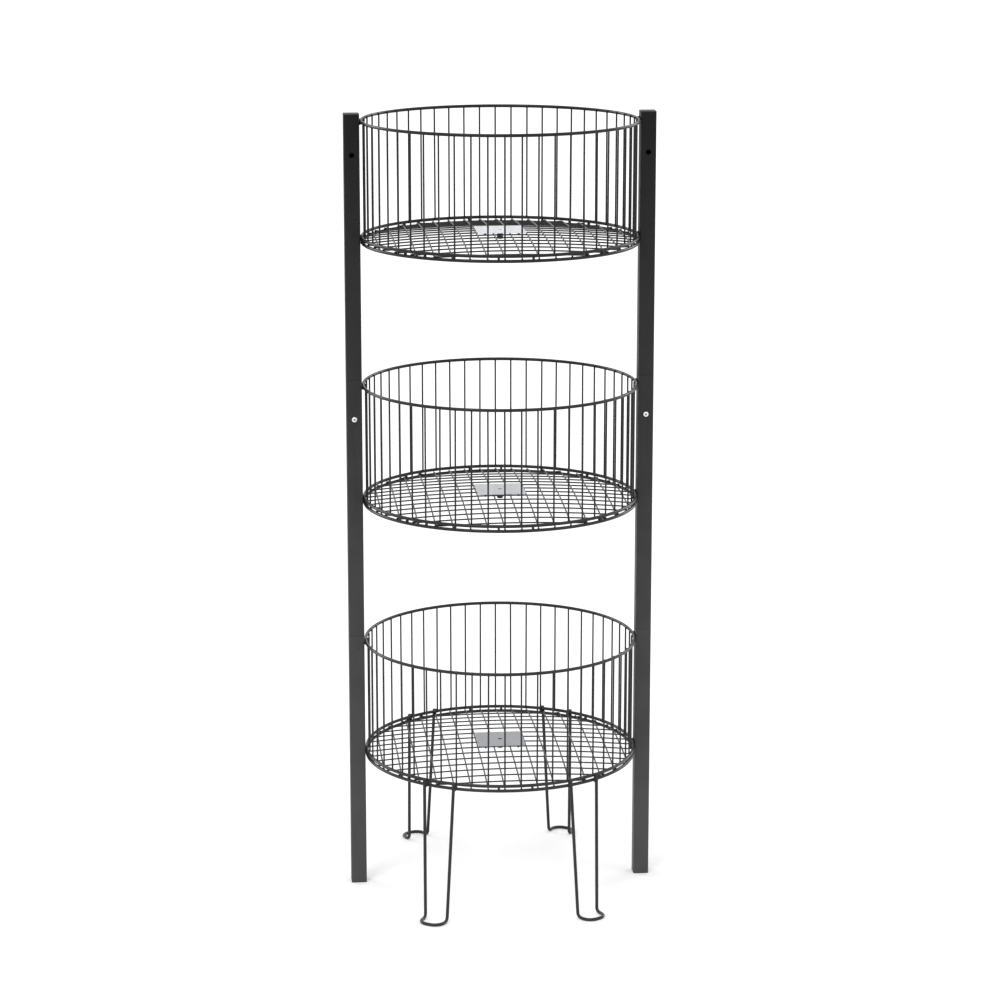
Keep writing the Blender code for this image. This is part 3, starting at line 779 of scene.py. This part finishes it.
def makeSocket(tier):
    # turned from its outline, with a threaded bore, and a collar that fills the plate's hole
    low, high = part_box(f"{tier}_plate_socket")
    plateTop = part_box(f"{tier}_centre_plate")[1].z
    outer = high.x
    bore = socket["bore"] / 2
    collar = socket["collar"] / 2
    edge = socket["chamfer"]
    rim = plateTop - edge
    outline = [(bore, rim - edge / 2), (bore + edge / 2, rim), (collar - edge / 2, rim),
               (collar, rim - edge / 2), (collar, high.z), (outer - edge, high.z),
               (outer, high.z - edge), (outer, low.z + edge), (outer - edge, low.z),
               (bore + edge, low.z)]
    z = low.z + edge
    while z < rim - edge - socket["pitch"]:
        outline.append((bore, z))
        outline.append((bore + socket["threadDepth"], z + socket["pitch"] / 2))
        z += socket["pitch"]
    outline.append((bore, z))
    bm = bmesh.new()
    verts = [bm.verts.new((radius, 0, height)) for radius, height in outline]
    edges = [bm.edges.new(pair) for pair in zip(verts, verts[1:] + verts[:1])]
    bmesh.ops.spin(bm, geom=verts + edges, cent=(0, 0, 0), axis=(0, 0, 1), angle=2 * math.pi,
                   steps=socket["sides"], use_merge=True)
    newPiece(f"{tier}_socket", bm, socketSteel, f"{tier}_tier",
             [f"{tier}_plate_socket"])


# Posts, sleeves, screws and end caps

backward = Vector((0, 1, 0))                 # from the front into a post
tube = {"corner": 0.0027, "cornerSegments": 5, "wall": 0.0015, "ease": 0.00035}
holes = {"middle": 0.0056, "top": 0.0102}    # in the front wall of these tiers' posts
countersink = {"width": 0.0128, "depth": 0.0011}     # of the top tier's holes
fixingDrop = 0.078                           # post top down to its screw or hole
sleeve = {"corner": 0.0018, "cornerSegments": 4, "wall": 0.0015, "ease": 0.0003}


def makePost(tier, side):
    node = f"{tier}_post_{side}"
    low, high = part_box(node)
    bm = roundedBlock(low, high, tube["corner"], tube["cornerSegments"])
    openEnds(bm, low.z, high.z)
    cutters = []
    if tier in holes:
        place = Vector(((low.x + high.x) / 2, low.y, high.z - fixingDrop))
        cutters = [bar(place, backward, holes[tier], 4 * tube["wall"])]
    if tier == "top":
        width, depth = countersink["width"], countersink["depth"]
        cutters.append(bar(place, backward, width + 2 * depth, 2 * depth,
                           farDiameter=width - 2 * depth))
    mesh = cutAndEase(node, bm, cutters, tube["wall"], tube["ease"])
    dressPiece(f"{node}_tube", mesh, postCoat, f"{tier}_tier", [node])


def makeSleeve(level, side):
    node = f"{level}_sleeve_{side}"
    low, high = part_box(node)
    bm = roundedBlock(low, high, sleeve["corner"], sleeve["cornerSegments"])
    openEnds(bm, low.z, high.z)
    mesh = cutAndEase(node, bm, (), sleeve["wall"], sleeve["ease"])
    dressPiece(f"{node}_tube", mesh, sleeveSteel, node, [node])


screw = {"head": 0.011, "height": 0.0034, "edge": 0.0014, "flat": 0.006, "crownSteps": 6,
         "shank": 0.005, "shankDepth": 0.0017, "recess": 0.0052, "depth": 0.0024, "hardEdge": 35}


def makeScrew(side):
    # a button head with a six-sided recess, turned about its own axis and laid on the post
    low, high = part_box(f"clamp_screw_{side}")
    middle = (low + high) / 2
    head = screw["head"] / 2
    flat = screw["flat"] / 2
    rise = screw["height"] - screw["edge"]
    shank = screw["shank"] / 2
    outline = [(0, screw["height"])]
    for step in range(screw["crownSteps"] + 1):
        angle = math.pi / 2 * step / screw["crownSteps"]
        outline.append((flat + (head - flat) * math.sin(angle),
                        screw["edge"] + rise * math.cos(angle)))
    outline += [(head, 0.0), (shank, 0.0), (shank, -screw["shankDepth"]),
                (0, -screw["shankDepth"])]
    bm = bmesh.new()
    verts = [bm.verts.new((radius, 0, height)) for radius, height in outline]
    edges = [bm.edges.new(pair) for pair in zip(verts, verts[1:])]
    bmesh.ops.spin(bm, geom=verts + edges, cent=(0, 0, 0), axis=(0, 0, 1), angle=2 * math.pi,
                   steps=roundSides, use_merge=True)
    bmesh.ops.remove_doubles(bm, verts=bm.verts[:], dist=tiny)
    # the crown's flat is made one face, so that the recess cuts it cleanly
    centre = [vert for vert in bm.verts
              if vert.co.z > screw["edge"] and vert.co.xy.length < tiny]
    bmesh.ops.dissolve_verts(bm, verts=centre)
    lay = Matrix.Translation((middle.x, low.y + screw["height"], middle.z)) @ Matrix.Rotation(
        math.pi / 2, 4, "X")
    bmesh.ops.transform(bm, matrix=lay, verts=bm.verts[:])
    recess = bar(Vector((middle.x, low.y, middle.z)), backward, screw["recess"],
                 2 * screw["depth"], 6)
    name = f"clamp_screw_{side}_head"
    mesh = cutAndEase(name, bm, [recess])
    dressPiece(name, mesh, screwNickel, "middle_tier", [f"clamp_screw_{side}"],
               screw["hardEdge"])


cap = {"corner": 0.0027, "cornerSegments": 6, "thickness": 0.002, "ease": 0.0007,
       "easeSegments": 4, "stemGap": 0.0003, "stemCorner": 0.0012, "stemSegments": 3}


def makeCap(side):
    # the cover on a post's end, over the stem that grips its bore
    low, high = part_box(f"top_cap_{side}")
    lift = high.z - cap["thickness"]
    bm = roundedBlock(Vector((low.x, low.y, lift)), high, cap["corner"], cap["cornerSegments"])
    rim = [edge for edge in bm.edges
           if all(abs(vert.co.z - high.z) < tiny for vert in edge.verts)]
    bmesh.ops.bevel(bm, geom=rim, offset=cap["ease"], segments=cap["easeSegments"],
                    profile=0.5, affect="EDGES", material=-1)
    gap = tube["wall"] + cap["stemGap"]
    inset = Vector((gap, gap, 0))
    stem = roundedBlock(low + inset, Vector((high.x, high.y, lift)) - inset,
                        cap["stemCorner"], cap["stemSegments"])
    spare = bpy.data.meshes.new("stem")
    stem.to_mesh(spare)
    stem.free()
    bm.from_mesh(spare)
    bpy.data.meshes.remove(spare)
    newPiece(f"top_cap_{side}_cover", bm, blackPlastic, "top_tier",
             [f"top_cap_{side}"])


# Legs

leg = {"wire": 0.0064, "angle": 31.2, "topWidth": 0.064, "footWidth": 0.0475, "splay": 0.014,
       "knee": 0.009, "reach": 0.033, "footRadius": 0.020, "sides": 18, "bendSteps": 10,
       "endEase": 0.0006}
legTurns = {"front_left": -leg["angle"], "front_right": leg["angle"],
            "back_right": 180 - leg["angle"], "back_left": 180 + leg["angle"]}


def legCorners(corner, places):
    # the corners of one hairpin, from the top of one prong round the foot to the other
    half = leg["wire"] / 2
    topRadius = places["baseRadius"] + basket["ring"] / 2 + half - basket["sink"] / 2
    footRadius = topRadius + leg["splay"]
    topOut = math.sqrt(topRadius ** 2 - (leg["topWidth"] / 2) ** 2)
    footOut = math.sqrt(footRadius ** 2 - (leg["footWidth"] / 2) ** 2)
    low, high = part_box(f"leg_{corner}")
    prong = [Vector((leg["topWidth"] / 2, topOut, high.z)),
             Vector((leg["footWidth"] / 2, footOut, half)),
             Vector((leg["footWidth"] / 2, footOut + leg["reach"], half))]
    mirrored = [Vector((-place.x, place.y, place.z)) for place in reversed(prong)]
    turn = Matrix.Rotation(math.radians(legTurns[corner] + 180), 3, "Z")
    return [turn @ place for place in prong + mirrored]


def makeLeg(corner, places):
    corners = legCorners(corner, places)
    bm = bmesh.new()
    bendWire(bm, corners, (leg["knee"], leg["footRadius"], leg["footRadius"], leg["knee"]),
             leg["wire"], leg["sides"], leg["bendSteps"])
    easeSharpEdges(bm, leg["endEase"], 2)
    newPiece(f"leg_{corner}_wire", bm, wireCoat, "bottom_tier",
             [f"leg_{corner}"])


# Welds

weld = {
    "upright": (0.0013, 0.0021, 0.0024),     # half sizes: outwards, along the hoop, up
    "crossing": (0.0017, 0.0017, 0.0009),
    "wireEnd": (0.0022, 0.0022, 0.0013),
    "post": (0.0022, 0.0030, 0.0028),        # along the bead, and across it
    "postRun": 0.0075,                       # half the length of the bead at a post
    "postSink": 0.0012,                      # in from the post's face
    "postBeads": ((-0.0030, 1.0), (0.0026, 0.7)),    # height from the hoop, share of the run
    "tie": (0.0040, 0.0024, 0.0052),
    "tieOut": 0.0004,
    "tieAngles": (-47, -37, -24, -6, 8, 32, 40),     # degrees, from the front and from the back
    "leg": (0.0022, 0.0021, 0.0024),
    "legRun": (0.0012, 0.0150),              # down a prong, from and to
    "legAcross": 0.38,                       # off a prong's middle, as shares of its wire
    "legInward": 0.42,
    "tack": (0.0028, 0.0072, 0.0030),
}


def hoopTurn(outward):
    # x outwards, y along the hoop, z up
    along = Vector((-outward.y, outward.x, 0))
    return Matrix((outward, along, up)).transposed()


def weldUprights(bm, uprights, luck):
    back = basket["upright"] / 2 - basket["sink"] / 2
    for foot, top, outward in uprights:
        for place in (foot, top):
            addLump(bm, place + outward * back, weld["upright"], hoopTurn(outward), luck)


def weldCrossings(bm, places, luck):
    level = Matrix.Identity(3)
    reach = places["floorRadius"] - basket["ring"]
    for row in range(-basket["rows"], basket["rows"] + 1):
        for column in range(-basket["columns"], basket["columns"]):
            x, y = (column + 0.5) * basket["pitch"], row * basket["pitch"]
            if math.hypot(x, y) > reach:
                continue
            place = Vector((x, y, settle(x, y, places, 0.0) - basket["floorWire"] / 2))
            addLump(bm, place, weld["crossing"], level, luck, fineness=1)


def weldWireEnds(bm, places, luck):
    for fixed, start, end, isRow in floorLines(places):
        for along in (start, end):
            if abs(along) < basket["cutBack"] * 2:
                continue
            x, y = (along, fixed) if isRow else (fixed, along)
            outward = Vector((x, y, 0)).normalized()
            place = outward * places["floorRadius"]
            place.z = places["floorZ"] + basket["ring"] / 2
            addLump(bm, place, weld["wireEnd"], hoopTurn(outward), luck)


def weldToPosts(bm, places, luck):
    # beads under and over the hoops, where they touch the posts' inner faces
    for hoopRadius, height in ((places["rimRadius"], places["rimZ"]),
                               (places["baseRadius"], places["baseZ"])):
        for sign in sides.values():
            face = sign * (hoopRadius + basket["ring"] / 2)
            for lift, share in weld["postBeads"]:
                start = Vector((face - sign * weld["postSink"], -weld["postRun"] * share,
                                height + lift))
                end = Vector((start.x, -start.y, start.z))
                thickness = 0.75 + 0.25 * share      # a shorter bead is thinner too
                addBead(bm, start, end, tuple(part * thickness for part in weld["post"]), luck)


def weldHoopsTogether(bm, places, luck):
    # short thick ties between the base hoop and the floor hoop
    middle = (places["baseZ"] + places["floorZ"]) / 2
    for angle in weld["tieAngles"]:
        for facing in (-90, 90):
            turn = math.radians(facing + angle)
            outward = Vector((math.cos(turn), math.sin(turn), 0))
            place = outward * (places["floorRadius"] + weld["tieOut"]) + up * middle
            addLump(bm, place, weld["tie"], hoopTurn(outward), luck, fineness=3, roughness=0.06)


def weldPlate(bm, tier, luck):
    low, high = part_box(f"{tier}_centre_plate")
    for signX in (-1, 1):
        for signY in (-1, 1):
            place = Vector((signX * plate["tackX"], signY * plate["tackY"],
                            low.z - plate["tackDrop"]))
            addLump(bm, place, weld["tack"], Matrix.Identity(3), luck, fineness=3,
                    roughness=0.05)


def weldLegs(bm, places, luck):
    for corner in legTurns:
        corners = legCorners(corner, places)
        for top, foot, other in ((corners[0], corners[1], corners[-1]),
                                 (corners[-1], corners[-2], corners[0])):
            heading = (foot - top).normalized()
            inward = -Vector((top.x, top.y, 0)).normalized()
            across = (other - top).normalized()
            for side in (-1, 1):
                shift = (across * side * leg["wire"] * weld["legAcross"]
                         + inward * leg["wire"] * weld["legInward"])
                start, end = (top + shift + heading * along for along in weld["legRun"])
                addBead(bm, start, end, weld["leg"], luck)


def makeWelds(tier, places, uprights, luck):
    bm = bmesh.new()
    weldUprights(bm, uprights, luck)
    weldCrossings(bm, places, luck)
    weldWireEnds(bm, places, luck)
    weldToPosts(bm, places, luck)
    weldHoopsTogether(bm, places, luck)
    weldPlate(bm, tier, luck)
    if tier == "bottom":
        weldLegs(bm, places, luck)
    newPiece(f"{tier}_welds", bm, wireCoat, f"{tier}_tier", hardAngle=180)


# Build it all

for tier in tierNames:
    luck = random.Random(f"bin {tier}")
    places = basketPlaces(tier)
    uprights = list(uprightPlaces(places, luck))
    makeRim(tier, places)
    makeWall(tier, places, uprights)
    makeFloor(tier, places)
    makePlate(tier)
    makeSocket(tier)
    for side in sides:
        makePost(tier, side)
    makeWelds(tier, places, uprights, luck)
    print(tier, "tier built")

for corner in legTurns:
    makeLeg(corner, basketPlaces("bottom"))
for side in sides:
    makeSleeve("lower", side)
    makeSleeve("upper", side)
    makeScrew(side)
    makeCap(side)
    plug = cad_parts[f"foot_plug_{side}"]
    plug.data.materials.clear()
    plug.data.materials.append(blackPlastic)
print("legs, sleeves, screws and ends built")


# Stage and light

stage = {
    "floorColour": (0.93, 0.93, 0.93, 1.0),
    "floorRoughness": 0.9,
    "floorSize": 160.0,
    "floorLift": 0.17,      # added for the camera alone, so that the floor meets the white
    "world": 0.70,
    "lampAngle": 25.0,      # width of the sky that each lamp fills, for soft shadows
}
lamps = {
    # how each is turned, in degrees, and its strength
    "keyLight": ((38, 0, -35), 0.9),
    "fillLight": ((55, 0, 60), 0.3),
    "rearLeftLight": ((-70, 0, 48), 0.85),      # these two for the glints along the hoops
    "rearRightLight": ((-70, 0, -48), 0.6),
}


def seenDirectly(tree, *rays):
    # 1 where the camera, or metal or glass that it looks at, sees the surface
    path = addNode(tree, "ShaderNodeLightPath")
    mask = path.outputs[rays[0]]
    for ray in rays[1:]:
        mask = addMath(tree, "MAXIMUM", mask, path.outputs[ray])
    return mask


def makeFloorPlane():
    bm = bmesh.new()
    bmesh.ops.create_grid(bm, x_segments=1, y_segments=1, size=stage["floorSize"])
    mesh = bpy.data.meshes.new("floor")
    bm.to_mesh(mesh)
    bm.free()
    floor = bpy.data.objects.new("floor", mesh)
    bpy.context.scene.collection.objects.link(floor)
    material, tree, shader = newFinish("paleFloor", specular=0.0)
    shader.inputs["Base Color"].default_value = stage["floorColour"]
    shader.inputs["Roughness"].default_value = stage["floorRoughness"]
    lift = addMath(tree, "MULTIPLY", seenDirectly(tree, "Is Camera Ray"), stage["floorLift"])
    shader.inputs["Emission Color"].default_value = (1, 1, 1, 1)
    tree.links.new(lift, shader.inputs["Emission Strength"])
    mesh.materials.append(material)


def makeLight():
    world = bpy.data.worlds.new("studio")
    bpy.context.scene.world = world
    world.use_nodes = True
    tree = world.node_tree
    background = tree.nodes["Background"]
    background.inputs["Color"].default_value = (1, 1, 1, 1)
    seen = seenDirectly(tree, "Is Camera Ray", "Is Glossy Ray", "Is Transmission Ray")
    strength = addMath(tree, "ADD", addMath(tree, "MULTIPLY", seen, 1 - stage["world"]),
                       stage["world"])
    tree.links.new(strength, background.inputs["Strength"])
    for name, (turn, energy) in lamps.items():
        lamp = bpy.data.lights.new(name, "SUN")
        lamp.energy = energy
        lamp.angle = math.radians(stage["lampAngle"])
        item = bpy.data.objects.new(name, lamp)
        item.rotation_euler = tuple(math.radians(part) for part in turn)
        bpy.context.scene.collection.objects.link(item)


makeFloorPlane()
makeLight()
print("stage and light set")
